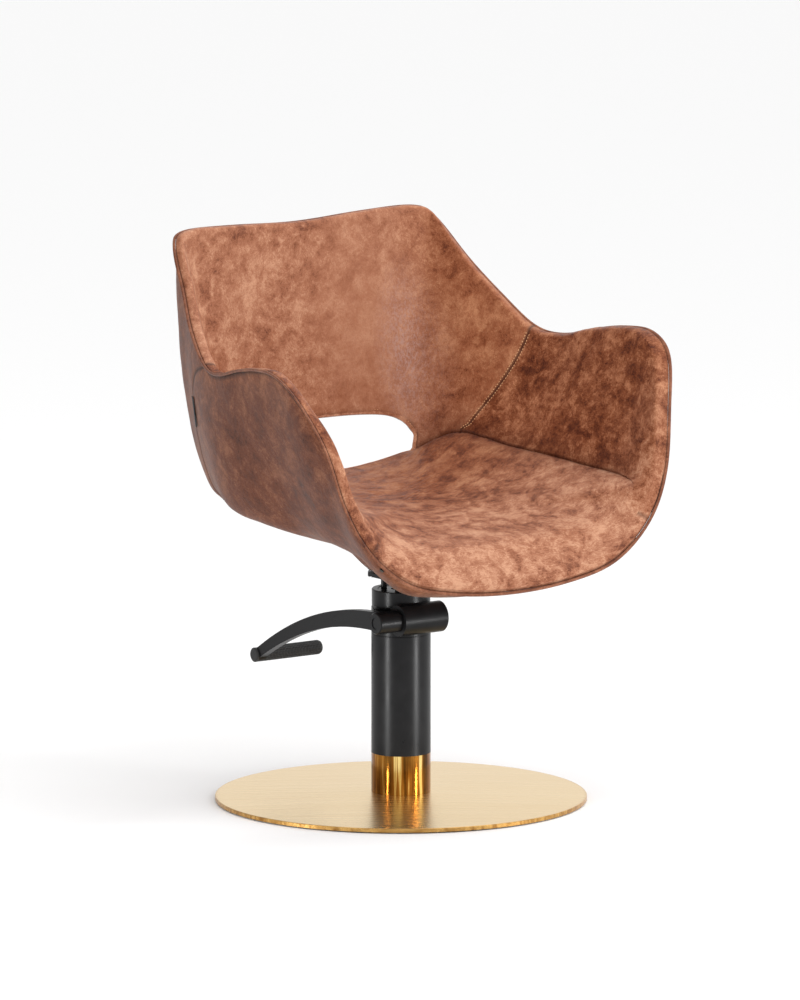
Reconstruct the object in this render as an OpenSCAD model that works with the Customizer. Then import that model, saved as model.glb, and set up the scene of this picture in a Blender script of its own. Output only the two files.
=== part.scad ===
// Hydraulic styling chair: one-piece bucket seat with a lumbar opening, foot-pumped
// column and a round brushed-gold base. +Z up, seat faces -Y, origin on the floor
// under the column axis. Millimetres throughout.

/* [Base] */
// Diameter of the round base plate
base_d = 560; // [480:5:640]
// Height of the base plate's edge above the floor
base_edge_h = 8; // [7:0.5:12]
// Height of the cover where it meets the column
base_crown_h = 14; // [13:0.5:18]

/* [Column] */
// Outer diameter of the column
column_d = 89.6; // [84:0.2:96]
// Height of the gold ring's upper edge
ring_top = 74; // [50:1:100]
// Height of the joint between column tube and pump head
tube_top = 256; // [230:1:258]

/* [Pump] */
// Outer diameter of the lifting ram
ram_d = 35; // [28:1:36]
// Height of the pedal shaft above the floor
shaft_z = 284; // [281:1:288]
// Distance of the pedal shaft in front of the column axis
shaft_y = 46; // [44:1:50]
// Diameter of the cross housing that carries the shaft
housing_d = 47; // [42:1:48]

/* [Pedal] */
// How far behind the shaft the foot bar sits
pedal_reach = 330; // [240:1:345]
// How far below the shaft the foot bar sits
pedal_drop = 97; // [60:1:110]
// Length of the knurled foot bar
foot_bar_l = 106; // [80:1:130]

/* [Seat] */
// Height of the cushion at the middle of the seat
seat_h = 452; // [440:1:470]
// Thickness of the moulded core
core_t = 8; // [6:0.5:10]
// Diameter of the piping cord round the edge
piping_d = 5; // [4:0.5:6]
// Height of the lumbar opening at its middle
opening_h = 82; // [50:1:100]

/* [Hidden] */
$fn = 64;
base_r = base_d / 2;
screw_circle = 60;
screw_r = 5;
column_r = column_d / 2;
ring_wall = 1.5;
tube_wall = 5;
tube_foot_r = 74;
ram_r = ram_d / 2;
ram_foot = 60;
ram_shoulder = 300;
ram_top = 321;
ram_nose_r = 10;
snap_z = 318;
piston_z = 44;
stud_bore = 8;
running = 0.04;
fit = 0.05;
cylinder_r = 24;
cylinder_bore = 20;
housing_r = housing_d / 2;
housing_half = 39;
shaft_r = 9;
bush_r = 14;
bush_l = 16;
neck_r = 37;
cap_z = 299;
cap_top = 324;
hub_l = 40;
hub_r = 16.5;
hub_gap = 0.6;
hub_screw_z = 26;
hub_end = -housing_half - hub_gap - hub_l;
flange_z = 314;
flange_top = 323;
flange_r = 34;
bolt_circle = 26;
bolt_r = 3;
plate_z = 343;
plate_t = 6;
plate_w = 88;
plate_reach = 50;
plate_hole = 31;
head_h = 5;
head_r = 5.2;
key_r = 2.6;
shell_z = plate_z + plate_t;
skin_t = 2.5;
roll_h = 4;
roll_lift = 0.2;
label_key = 12.2;
label_t = 1.2;
label_w = 14;
label_h = 46;
label_lean = 7;
stud_col = 8;
stud_r = 3.5;
stud_t = 1.6;
foot_bar_r = 11;
foot_core_r = 6;
grooves = 24;
lever_t = 13;
lever_x = hub_end + 10;
plunger_y = -shaft_y + 14;
plunger_r = 6;
plunger_l = 52;
plunger_guide_h = 46;
tip_r = 2.8;
finger_drop = 3;
finger_l = 19;
cam_r = 11;
cam_w = 12;

// Rings of the bucket, front middle to back middle: outer edge, edge width vector,
// crease between seat and wall, belly where the underside turns up, fullness of the wall.
shell_keys = [
  [[0, -298, 359], [0, 3, 24], [0, -262, 430], [0, -250, 353], 1],
  [[100, -297, 366], [0, 3, 24], [92, -262, 431], [92, -250, 355], 1],
  [[190, -293, 388], [-8, 3, 22], [172, -262, 440], [168, -250, 366], 1],
  [[258, -287, 443], [-20, 2, 12], [226, -262, 468], [212, -242, 398], 0.95],
  [[296, -275, 514], [-25, 2, 2], [246, -255, 496], [229, -222, 424], 0.81],
  [[317, -254, 604], [-25, 4, -1], [250, -210, 505], [230, -188, 433], 0.75],
  [[343, -216, 677], [-24, 8, -3], [246, -160, 508], [227, -142, 435], 0.7],
  [[348, -165, 706], [-24, 3, -2], [238, -115, 511], [221, -102, 436], 0.7],
  [[341, -104, 706], [-24, 0, -2], [229, -70, 515], [220, -64, 437], 0.66],
  [[332, -42, 695], [-24, 0, -2], [219, -28, 518], [223, -26, 434], 0.55],
  [[321, 22, 679], [-23, -3, -2], [213, 18, 520], [231, 17, 442], 0.37],
  [[306, 80, 684], [-20, -8, -2], [208, 80, 525], [242, 68, 450], 0.34],
  [[287, 143, 727], [-17, -10, -1], [202, 136, 527], [226, 117, 461], 0.4],
  [[264, 196, 776], [-15, -11, 0], [186, 172, 514], [217, 161, 460], 0.45],
  [[243, 250, 832], [-10, -15, 0], [158, 198, 494], [190, 197, 457], 0.41],
  [[214, 271, 852], [-4, -17, 0], [120, 208, 482], [153, 212, 430], 0.47],
  [[120, 279, 851], [0, -18, 0], [62, 211, 473], [84, 214, 426], 0.58],
  [[0, 283, 845], [0, -18, 0], [0, 211, 470], [0, 215, 418], 0.6],
];
steps = 3;
spans = len(shell_keys) - 1;
half_cols = spans * steps;
cols = 2 * half_cols;
seat_rows = 6;
pan_rows = 4;
pan_stops = [0, 0.18, 0.3, 0.6, 1];
pan_flat = 0.18;
pan_power = 0.6;
wall_swell = 0.025;
seat_edge_t = 28;
wall_rows = 6;
rows = seat_rows + wall_rows;
hole_key = 14;
arm_key = 3;
corner_key = 11;

function unit(v) = v / norm(v);
function mirror_x(p) = [-p[0], p[1], p[2]];

// Smooth curve through one column of the ring table, symmetric at both ends.
function key_at(i, f) =
  let (k = i < 0 ? 1 : i > spans ? spans - 1 : i,
       v = shell_keys[k][f],
       flip = i < 0 || i > spans)
  flip && is_list(v) ? mirror_x(v) : v;
function curve(t, f) =
  let (i = min(floor(t), spans - 1), u = t - i,
       a = key_at(i - 1, f), b = key_at(i, f), c = key_at(i + 1, f), d = key_at(i + 2, f))
  0.5 * (2 * b + (c - a) * u + (2 * a - 5 * b + 4 * c - d) * u * u
    + (3 * b - a - 3 * c + d) * u * u * u);

// Point on a wall that rises from its foot to its edge; fullness below 1 swells it.
function wall(foot, edge, full, w) =
  let (h = pow(w, full))
  [foot[0] + (edge[0] - foot[0]) * h, foot[1] + (edge[1] - foot[1]) * h,
   foot[2] + (edge[2] - foot[2]) * w];
function pan(edge, mid_z, rise, s) = [edge[0] * s, edge[1] * s, mid_z + (edge[2] - mid_z) * rise];
function edge_way(t) =
  let (r = curve(t, 0)) unit(r - wall(curve(t, 3), r, curve(t, 4), 0.85));
function outer_edge(t) =
  curve(t, 0) + unit(curve(t, 1)) * (piping_d * 0.8) - edge_way(t) * roll_h * 0.8;
function inner_edge(t) = curve(t, 0) + curve(t, 1) - edge_way(t) * roll_h * 0.8;

// Share of the wall taken by the lumbar opening at ring t.
function opening_share(t) =
  let (u = (spans - t) / (spans - hole_key))
  0.05 + (opening_h / 375 - 0.05) * pow(max(0, 1 - u * u), 0.7);
function wall_share(t, j) =
  let (s = opening_share(t))
  j == 0 ? 0 : s + (1 - s) * (j - 1) / (wall_rows - 1);
function inner_point(t, j) =
  j <= seat_rows ? pan(curve(t, 2), seat_h, pow(j / seat_rows, 2.2), j / seat_rows)
    : wall(curve(t, 2), inner_edge(t), 0.85, wall_share(t, j - seat_rows));
// The cover's rows stay level with the rows of the cushion, except along the front.
function cover_rise(t, j, foot, edge) =
  let (m = max(0, min(1, (t - 3) / 2)), k = max(j, seat_rows),
       plain = 0.2 + 0.8 * wall_share(t, k - seat_rows),
       z = inner_point(t, k)[2] - (k == seat_rows ? seat_edge_t : 0),
       w = plain * (1 - m) + m * (z - foot[2]) / (edge[2] - foot[2]))
  j < seat_rows ? w * 0.3 : w;
function outer_point(t, j) =
  let (foot = curve(t, 3), edge = outer_edge(t), s = j > pan_rows ? 1 : pan_stops[j],
       rise = s <= pan_flat ? 0 : pow((s - pan_flat) / (1 - pan_flat), pan_power))
  j <= pan_rows ? pan(foot, shell_z, rise, s)
    : let (w = cover_rise(t, j, foot, edge), p = wall(foot, edge, curve(t, 4), w),
           swell = 1 + wall_swell * sin(180 * w))
      [p[0] * swell, p[1] * swell, p[2]];

// Point at depth d inside the upholstered shell; a negative d means the inner face.
function layer_point(t, j, d) =
  let (o = outer_point(t, j), i = inner_point(t, j))
  d < 0 ? i : o + unit(i - o) * d;
function ring_t(c) = (c <= half_cols ? c : cols - c) / steps;
function ring_point(c, j, d) =
  let (p = layer_point(ring_t(c), j, d)) c <= half_cols ? p : mirror_x(p);

// Solid between two depths over the cells that keep() selects.
//  part 0 whole shell, 1 seat, 2 back, 3 right arm, 4 left arm
function in_hole(r, t) = r == seat_rows && t > hole_key;
function keep(part, r, c) =
  let (t = (ring_t(c) + ring_t(c + 1)) / 2, left = c >= half_cols)
  r < 0 || r >= rows || in_hole(r, t) ? false
    : part == 0 ? true
    : part == 1 ? r < seat_rows || t < arm_key
    : r < seat_rows || t < arm_key ? false
    : part == 2 ? t > corner_key
    : t < corner_key && (part == 4 ? !left : left);
module shell_layer(part, d0, d1) {
  ring = cols;
  low = [for (j = [1:rows], c = [0:ring - 1]) ring_point(c, j, d0)];
  high = [for (j = [1:rows], c = [0:ring - 1]) ring_point(c, j, d1)];
  n = len(low);
  pole = 2 * n;
  poles = [layer_point(0, 0, d0), layer_point(0, 0, d1)];
  faces = [for (c = [0:ring - 1], r = [0:rows - 1]) if (keep(part, r, c))
    let (c2 = (c + 1) % ring, cp = (c + ring - 1) % ring,
         a = (r - 1) * ring + c, b = (r - 1) * ring + c2,
         e = r * ring + c2, f = r * ring + c)
    each concat(
      r == 0 ? [[pole, f, e], [pole + 1, n + e, n + f]]
        : [[a, f, e], [a, e, b], [n + a, n + e, n + f], [n + a, n + b, n + e]],
      keep(part, r + 1, c) ? [] : [[f, n + f, n + e], [f, n + e, e]],
      r == 0 || keep(part, r - 1, c) ? [] : [[a, b, n + b], [a, n + b, n + a]],
      r == 0 || keep(part, r, cp) ? [] : [[a, n + a, n + f], [a, n + f, f]],
      r == 0 || keep(part, r, c2) ? [] : [[b, e, n + e], [b, n + e, n + b]])];
  polyhedron(concat(low, high, poles), faces);
}

// Closed sweep of a section round the edge of the bucket.
module edge_sweep(sections) {
  m = len(sections[0]);
  n = len(sections);
  polyhedron([for (s = sections) each s],
    [for (c = [0:n - 1], k = [0:m - 1])
      let (c2 = (c + 1) % n, k2 = (k + 1) % m,
           a = c * m + k, b = c * m + k2, d = c2 * m + k, e = c2 * m + k2)
      each [[a, d, e], [a, e, b]]]);
}

module base_plate() {
  color("dimgray")
  difference() {
    translate([0, 0, 2]) cylinder(r = base_r - 2.1, h = base_edge_h - 3.6, $fn = 160);
    translate([0, 0, 1])
    rotate_extrude($fn = 160) translate([base_r - 24, 0]) square([14, 2.5]);
    for (i = [0:3]) rotate(45 + 90 * i) translate([screw_circle, 0, 1.9]) {
      cylinder(r = screw_r + 0.2, h = base_edge_h);
      cylinder(r1 = 10.2, r2 = 5.2, h = 4);
    }
  }
}
module base_cover() {
  rim = base_r - 2;
  top = base_edge_h;
  crown = base_crown_h;
  color("goldenrod")
  rotate_extrude($fn = 200)
  polygon([[rim, 2], [base_r, 2], [base_r, top - 0.8], [base_r - 0.8, top],
    [column_r + 0.1, crown], [column_r + 0.1, crown - 1.4], [rim, top - 1.5]]);
}
module floor_ring() {
  color("black")
  rotate_extrude($fn = 160) translate([base_r - 23.9, 0]) square([13.8, 3.4]);
}
module base_screws() {
  color("silver")
  for (i = [0:3]) rotate(45 + 90 * i) translate([screw_circle, 0, 2.1]) difference() {
    union() {
      cylinder(r1 = 9.9, r2 = screw_r, h = 3.9);
      cylinder(r = screw_r, h = 9.4);
    }
    translate([0, 0, -1]) cylinder(r = 3, h = 3, $fn = 6);
  }
}
module column_ring() {
  color("gold")
  translate([0, 0, base_crown_h + 0.1]) difference() {
    cylinder(r = column_r, h = ring_top - base_crown_h - 0.1);
    translate([0, 0, -1]) cylinder(r = column_r - ring_wall, h = ring_top);
  }
}
module column_tube() {
  foot = base_edge_h - 1.6;
  color([0.09, 0.09, 0.1])
  difference() {
    union() {
      translate([0, 0, foot]) cylinder(r = tube_foot_r, h = 5.2);
      translate([0, 0, foot]) cylinder(r = column_r - ring_wall - 0.05, h = tube_top - foot);
      translate([0, 0, ring_top]) cylinder(r = column_r, h = tube_top - ring_top);
    }
    translate([0, 0, foot + 7]) cylinder(r = column_r - tube_wall, h = tube_top);
    for (i = [0:3]) rotate(45 + 90 * i) translate([screw_circle, 0, 0])
    cylinder(r = screw_r + fit, h = 20);
  }
}
module valve_block() {
  color("slategray")
  translate([0, 0, base_edge_h + 5.4]) difference() {
    union() {
      cylinder(r = 34, h = 14);
      cylinder(r = cylinder_bore - 0.05, h = 22);
    }
    translate([0, 0, 8]) cylinder(r = 4, h = 20);
    translate([0, 0, 10]) rotate([90, 0, 0]) cylinder(r = 2.5, h = 40);
  }
}
module inner_cylinder() {
  foot = base_edge_h + 19.4;
  color("gainsboro")
  translate([0, 0, foot]) difference() {
    cylinder(r = cylinder_r, h = tube_top + 4 - foot);
    translate([0, 0, -1]) cylinder(r = cylinder_bore, h = tube_top);
  }
}
module shaft_axis() {
  translate([0, -shaft_y, shaft_z]) rotate([0, 90, 0]) children();
}
module pump_head() {
  spigot = column_r - tube_wall - 0.05;
  color([0.09, 0.09, 0.1])
  difference() {
    union() {
      translate([0, 0, tube_top]) cylinder(r = column_r, h = cap_z - 3 - tube_top);
      translate([0, 0, tube_top - 14]) cylinder(r = spigot, h = 20);
      translate([0, 0, tube_top]) cylinder(r = neck_r, h = cap_z + 8 - tube_top);
      difference() {
        shaft_axis() cylinder(r = housing_r, h = 2 * housing_half, center = true);
        translate([0, 0, cap_z - 3]) cylinder(r = column_r + 0.1, h = 40);
      }
    }
    translate([0, 0, tube_top - 20]) cylinder(r = cylinder_r + fit, h = 42);
    translate([0, 0, tube_top + 5]) cylinder(r = ram_r + 2, h = 80);
    translate([0, 0, cap_z - 5]) cylinder(r = 31, h = 30);
    shaft_axis() cylinder(r = bush_r, h = 2 * housing_half + 2, center = true);
    shaft_axis() translate([0, 0, housing_half - 3]) cylinder(r = housing_r - 4, h = 4);
    translate([-8, -shaft_y - 3, shaft_z - 16]) cube([16, 26, 26]);
    translate([0, plunger_y, 0]) cylinder(r = plunger_r + 0.1, h = shaft_z);
  }
}
module head_cap() {
  color([0.08, 0.08, 0.09])
  rotate_extrude()
  polygon([[neck_r + 0.05, cap_z], [column_r - 0.6, cap_z], [column_r - 0.6, cap_top - 1.2],
    [column_r - 1.8, cap_top], [flange_r + 1.6, cap_top], [flange_r + 1, cap_top - 0.8],
    [flange_r + 1, cap_z + 8.2], [neck_r + 0.05, cap_z + 8.2]]);
}
module guide_bush() {
  color("darkgoldenrod")
  translate([0, 0, tube_top + 4.2]) difference() {
    cylinder(r = cylinder_r, h = 17.6);
    translate([0, 0, -1]) cylinder(r = ram_r + running, h = 40);
  }
}
module wiper_seal() {
  color("black")
  translate([0, 0, cap_z - 5]) difference() {
    cylinder(r = 30.9, h = 5);
    translate([0, 0, -1]) cylinder(r = ram_r + 0.1, h = 10);
    translate([0, 0, 2]) cylinder(r = 26, h = 10);
  }
}
module shaft_bushes() {
  color("darkgoldenrod")
  shaft_axis() for (s = [-1, 1])
  translate([0, 0, s * (housing_half - 3 - bush_l / 2)]) difference() {
    cylinder(r = bush_r - 0.05, h = bush_l, center = true);
    cylinder(r = shaft_r + running, h = 60, center = true);
  }
}
module housing_plug() {
  color([0.06, 0.06, 0.07])
  shaft_axis() translate([0, 0, housing_half - 2.9]) difference() {
    cylinder(r = housing_r - 4.1, h = 4.4);
    translate([0, 0, 3.6]) cylinder(r = housing_r - 8, h = 2);
  }
}
module ram() {
  color("silver")
  difference() {
    union() {
      translate([0, 0, ram_foot]) cylinder(r = ram_r, h = ram_shoulder - ram_foot);
      translate([0, 0, ram_foot]) cylinder(r = ram_nose_r, h = ram_top - ram_foot);
    }
    translate([0, 0, ram_foot - 1]) cylinder(r = stud_bore, h = 21);
    translate([0, 0, snap_z]) difference() {
      cylinder(r = ram_nose_r + 1, h = 1.6);
      cylinder(r = ram_nose_r - 1, h = 1.6);
    }
  }
}
module piston_head() {
  color("darkgray")
  difference() {
    union() {
      translate([0, 0, piston_z])
      cylinder(r = cylinder_bore - running, h = ram_foot - piston_z - 0.1);
      translate([0, 0, piston_z]) cylinder(r = stud_bore - 0.1, h = 35);
    }
    translate([0, 0, piston_z + 5.9]) difference() {
      cylinder(r = cylinder_bore + 1, h = 4.2);
      cylinder(r = 16.5, h = 4.2);
    }
  }
}
module piston_seal() {
  color("black")
  translate([0, 0, piston_z + 6]) difference() {
    cylinder(r = cylinder_bore - 0.03, h = 4);
    translate([0, 0, -1]) cylinder(r = 16.6, h = 8);
  }
}
module thrust_bearing() {
  color("lightgray")
  difference() {
    union() {
      translate([0, 0, ram_shoulder]) cylinder(r = 16.5, h = 1.6);
      translate([0, 0, ram_shoulder + 4.3]) cylinder(r = 16.5, h = 1.6);
      for (i = [0:11]) rotate(30 * i) translate([13.4, 0, ram_shoulder + 2.95])
      sphere(r = 1.6, $fn = 16);
    }
    translate([0, 0, ram_shoulder - 1]) cylinder(r = ram_nose_r + fit, h = 10);
  }
}
module retaining_ring() {
  color("dimgray")
  translate([0, 0, snap_z + fit]) difference() {
    cylinder(r = 13.5, h = 1.5);
    translate([0, 0, -1]) cylinder(r = ram_nose_r - 1 + fit, h = 4);
    translate([4, -2, -1]) cube([12, 4, 4]);
  }
}
module top_flange() {
  color([0.1, 0.1, 0.11])
  difference() {
    union() {
      translate([0, 0, flange_z]) cylinder(r = flange_r, h = flange_top - flange_z);
      translate([0, 0, ram_shoulder + 5.95]) cylinder(r = 19, h = 10);
    }
    translate([0, 0, ram_shoulder]) cylinder(r = ram_nose_r + running, h = 40);
    translate([0, 0, snap_z - 0.1]) cylinder(r = 15, h = 20);
    for (i = [0:3]) rotate(45 + 90 * i) translate([bolt_circle, 0, ram_shoulder])
    cylinder(r = bolt_r + fit, h = 40);
  }
}
module flange_bolts() {
  color("black")
  for (i = [0:3]) rotate(45 + 90 * i) translate([bolt_circle, 0, 0]) difference() {
    union() {
      translate([0, 0, flange_z - head_h - fit]) cylinder(r = head_r, h = head_h);
      translate([0, 0, flange_z - head_h]) cylinder(r = bolt_r, h = plate_z + plate_t - flange_z + head_h);
    }
    translate([0, 0, flange_z - head_h - 1]) cylinder(r = key_r, h = 4, $fn = 6);
  }
}
module flange_spacers() {
  color("dimgray")
  for (i = [0:3]) rotate(45 + 90 * i) translate([bolt_circle, 0, flange_top + 0.02])
  difference() {
    cylinder(r = bolt_r + 1.6, h = plate_z - flange_top - 0.04);
    translate([0, 0, -1]) cylinder(r = bolt_r + fit, h = plate_z - flange_top + 2);
  }
}
module seat_plate() {
  color([0.07, 0.07, 0.08])
  difference() {
    intersection() {
      translate([-plate_w / 2, -plate_w / 2, plate_z]) cube([plate_w, plate_w, plate_t]);
      translate([0, 0, plate_z]) cylinder(r = plate_reach, h = plate_t);
    }
    for (i = [0:3]) rotate(45 + 90 * i) translate([bolt_circle, 0, plate_z - 1])
    cylinder(r = bolt_r + fit, h = 20);
    for (x = [-1, 1], y = [-1, 1]) translate([x * plate_hole, y * plate_hole, plate_z - 1])
    cylinder(r = 3.1, h = 20);
  }
}
module plate_screws() {
  color("silver")
  for (x = [-1, 1], y = [-1, 1])
  translate([x * plate_hole, y * plate_hole, plate_z - 3.6]) difference() {
    union() {
      cylinder(r = 5.5, h = 3.5);
      cylinder(r = 3, h = 3.6 + plate_t - 0.1);
    }
    translate([0, 0, -1]) cylinder(r = 2.2, h = 3, $fn = 6);
  }
}
module shell_core() {
  color("peru") shell_layer(0, skin_t, skin_t + core_t);
}
module outer_cover() {
  color("saddlebrown") shell_layer(0, 0, skin_t);
}
module seat_pad() {
  color("chocolate") shell_layer(1, skin_t + core_t, -1);
}
module back_pad() {
  color("sienna") shell_layer(2, skin_t + core_t, -1);
}
module arm_pad_right() {
  color("sienna") shell_layer(3, skin_t + core_t, -1);
}
module arm_pad_left() {
  color("sienna") shell_layer(4, skin_t + core_t, -1);
}
function edge_frame(c) =
  let (o = ring_point(c, rows, 0), i = ring_point(c, rows, -1),
       w = edge_way(ring_t(c)), d = c <= half_cols ? w : mirror_x(w))
  [o, i, d];
module edge_roll() {
  color("chocolate")
  edge_sweep([for (c = [0:cols - 1])
    let (f = edge_frame(c), o = f[0], i = f[1], d = f[2] * roll_h)
    [o + d * roll_lift, o + d * 0.75 + (i - o) * 0.06, (o + i) / 2 + d,
      i + d * 0.75 + (o - i) * 0.06, i + d * roll_lift]]);
}
module piping() {
  r = piping_d / 2;
  color("saddlebrown")
  edge_sweep([for (c = [0:cols - 1])
    let (f = edge_frame(c), e = unit(f[1] - f[0]), m = f[0] - e * (r + 0.15) + f[2] * 0.8)
    [for (k = [0:7]) m + r * (cos(45 * k) * f[2] + sin(45 * k) * e)]]);
}
module on_left_cover(t, j, out) {
  p = outer_point(t, j);
  q = unit([p[0], p[1], 0]);
  translate([-p[0] - q[0] * out, p[1] + q[1] * out, p[2]])
  rotate([0, 0, 180 - atan2(p[1], p[0])]) children();
}
module label_tab() {
  color("black") on_left_cover(label_key, seat_rows + 2.6, label_t / 2 + 1)
  rotate([0, label_lean, 0]) cube([label_t, label_w, label_h], center = true);
}
module edge_studs() {
  color("silver")
  for (s = [-1, 1]) {
    f = edge_frame(stud_col);
    e = unit(f[1] - f[0]);
    p = f[0] - e * 6.2 - f[2] * 9;
    a = [atan2(norm([e[0], e[1]]), e[2]), atan2(e[1], s * e[0])];
    translate([s * p[0], p[1], p[2]]) rotate([0, a[0], a[1]]) cylinder(r = stud_r, h = stud_t);
  }
}
module pedal_shaft() {
  color("silver")
  shaft_axis() translate([0, 0, hub_end + 6]) cylinder(r = shaft_r, h = housing_half - hub_end - 10);
}
module pedal_hub() {
  color([0.08, 0.08, 0.09])
  shaft_axis() translate([0, 0, hub_end]) difference() {
    rotate_extrude() polygon([[0, 0], [hub_r - 1.5, 0], [hub_r, 1.5], [hub_r, hub_l], [0, hub_l]]);
    translate([0, 0, 5.9]) cylinder(r = shaft_r, h = hub_l);
    translate([0, 0, -1]) cylinder(r = 9, h = 2.2);
    translate([0, 0, hub_screw_z]) rotate([0, 90, 0]) cylinder(r = 3 + fit, h = 30);
  }
}
module hub_screw() {
  color("gray")
  shaft_axis() translate([shaft_r + 0.1, 0, hub_end + hub_screw_z]) rotate([0, 90, 0])
  difference() {
    cylinder(r = 3, h = hub_r - shaft_r - 0.6);
    translate([0, 0, hub_r - shaft_r - 3]) cylinder(r = 1.5, h = 4, $fn = 6);
  }
}
function lever_line(s) =
  [pedal_reach * s, -pedal_drop * pow(s, 2.15)];
function lever_half(s) = 14.5 - 5.5 * s;
module pedal_lever() {
  n = 18;
  upper = [for (i = [0:n]) lever_line(i / n) + [0, lever_half(i / n)]];
  lower = [for (i = [n:-1:0]) lever_line(i / n) - [0, lever_half(i / n)]];
  color([0.08, 0.08, 0.09])
  difference() {
    translate([lever_x, -shaft_y, shaft_z]) rotate([90, 0, 90])
    difference() {
      union() {
        linear_extrude(lever_t) polygon(concat(upper, lower));
        translate([pedal_reach, -pedal_drop]) cylinder(r = foot_bar_r, h = lever_t);
      }
      translate([pedal_reach, -pedal_drop, -1]) cylinder(r = foot_core_r + fit, h = 40);
    }
    shaft_axis() cylinder(r = hub_r + fit, h = 300, center = true);
  }
}
module foot_axis() {
  translate([lever_x, -shaft_y + pedal_reach, shaft_z - pedal_drop]) rotate([0, 90, 0]) children();
}
module foot_bar_core() {
  color("dimgray")
  foot_axis() translate([0, 0, 0.1]) cylinder(r = foot_core_r, h = lever_t + foot_bar_l - 8);
}
module foot_sleeve() {
  color([0.05, 0.05, 0.05])
  foot_axis() translate([0, 0, lever_t + 0.1]) difference() {
    rotate_extrude() polygon([[0, 0], [foot_bar_r, 0], [foot_bar_r, foot_bar_l - 5],
      [foot_bar_r - 1.5, foot_bar_l - 1.8], [foot_bar_r - 5, foot_bar_l], [0, foot_bar_l]]);
    translate([0, 0, -1]) cylinder(r = foot_core_r + fit, h = foot_bar_l - 6);
    for (i = [0:grooves - 1]) rotate(360 / grooves * i) translate([foot_bar_r, 0, 3])
    cylinder(r = 0.6, h = foot_bar_l - 12, $fn = 4);
  }
}
module foot_bar_cap() {
  color([0.05, 0.05, 0.05])
  foot_axis() rotate([180, 0, 0]) rotate_extrude()
  polygon([[0, 0], [foot_bar_r, 0], [foot_bar_r, 2], [foot_bar_r - 2, 3.6], [0, 3.6]]);
}
module pump_cam() {
  color("dimgray")
  shaft_axis() translate([0, 0, -cam_w / 2]) difference() {
    union() {
      cylinder(r = cam_r, h = cam_w);
      translate([-finger_drop, 0, 0]) cube([2 * finger_drop, finger_l, cam_w]);
    }
    translate([0, 0, -1]) cylinder(r = shaft_r, h = 20);
  }
}
module pump_plunger() {
  top = shaft_z - finger_drop - 0.5;
  color("silver")
  translate([0, plunger_y, 0]) {
    translate([0, 0, top - plunger_l]) cylinder(r = plunger_r, h = plunger_l - 8);
    translate([0, 0, top - 9]) cylinder(r = tip_r, h = 9);
  }
}
module plunger_guide() {
  top = tube_top - 14.1;
  color("dimgray")
  translate([0, plunger_y, top - plunger_guide_h]) difference() {
    cylinder(r = plunger_r + 1.4, h = plunger_guide_h);
    translate([0, 0, 3]) cylinder(r = plunger_r + 0.2, h = plunger_guide_h + 4);
    translate([0, 0, -1]) cylinder(r = 2, h = 10);
  }
}
module plunger_spring() {
  turns = 5;
  top = shaft_z - finger_drop - 53;
  wire = 0.9;
  mean = 4.6;
  height = top - tube_top + 55.1;
  m = 6;
  n = turns * 16;
  function wire_point(i, k) =
    let (a = 360 * turns * i / n, r = mean + wire * cos(60 * k))
    [r * cos(a), r * sin(a), top - 1 - height * i / n + wire * sin(60 * k)];
  color("silver")
  translate([0, plunger_y, 0])
  polyhedron([for (i = [0:n], k = [0:m - 1]) wire_point(i, k)],
    concat([for (i = [0:n - 1], k = [0:m - 1])
      let (a = i * m + k, b = i * m + (k + 1) % m) each [[a, b, b + m], [a, b + m, a + m]]],
      [for (k = [1:m - 2]) [0, k + 1, k]],
      [for (k = [1:m - 2]) [n * m, n * m + k, n * m + k + 1]]));
}

base_plate();
base_cover();
floor_ring();
base_screws();
column_ring();
column_tube();
inner_cylinder();
valve_block();
pump_head();
head_cap();
guide_bush();
wiper_seal();
shaft_bushes();
housing_plug();
ram();
piston_head();
piston_seal();
thrust_bearing();
retaining_ring();
top_flange();
flange_bolts();
flange_spacers();
seat_plate();
plate_screws();
shell_core();
seat_pad();
back_pad();
arm_pad_right();
arm_pad_left();
outer_cover();
edge_roll();
piping();
label_tab();
edge_studs();
pedal_shaft();
pedal_hub();
pedal_lever();
foot_bar_core();
foot_sleeve();
foot_bar_cap();
hub_screw();
pump_cam();
pump_plunger();
plunger_guide();
plunger_spring();
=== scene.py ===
"""Looks of the hydraulic styling chair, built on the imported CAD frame."""

import math

import bpy
import numpy as np
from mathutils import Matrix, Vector, kdtree


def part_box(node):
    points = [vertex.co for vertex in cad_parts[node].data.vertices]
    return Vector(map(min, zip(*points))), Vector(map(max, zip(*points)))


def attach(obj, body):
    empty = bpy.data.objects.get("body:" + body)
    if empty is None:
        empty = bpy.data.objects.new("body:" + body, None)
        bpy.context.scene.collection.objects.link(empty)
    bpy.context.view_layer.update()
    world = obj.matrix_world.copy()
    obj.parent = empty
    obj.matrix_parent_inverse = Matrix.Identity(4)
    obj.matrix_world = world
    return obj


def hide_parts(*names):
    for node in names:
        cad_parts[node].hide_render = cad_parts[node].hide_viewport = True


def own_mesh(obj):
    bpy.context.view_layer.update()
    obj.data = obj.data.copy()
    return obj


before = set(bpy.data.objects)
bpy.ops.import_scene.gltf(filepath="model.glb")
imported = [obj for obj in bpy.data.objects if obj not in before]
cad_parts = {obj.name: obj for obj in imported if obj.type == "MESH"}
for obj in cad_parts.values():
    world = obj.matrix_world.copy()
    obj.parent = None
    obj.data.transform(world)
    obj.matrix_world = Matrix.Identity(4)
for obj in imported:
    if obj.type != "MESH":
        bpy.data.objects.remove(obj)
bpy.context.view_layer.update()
MM = 0.001

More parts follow.
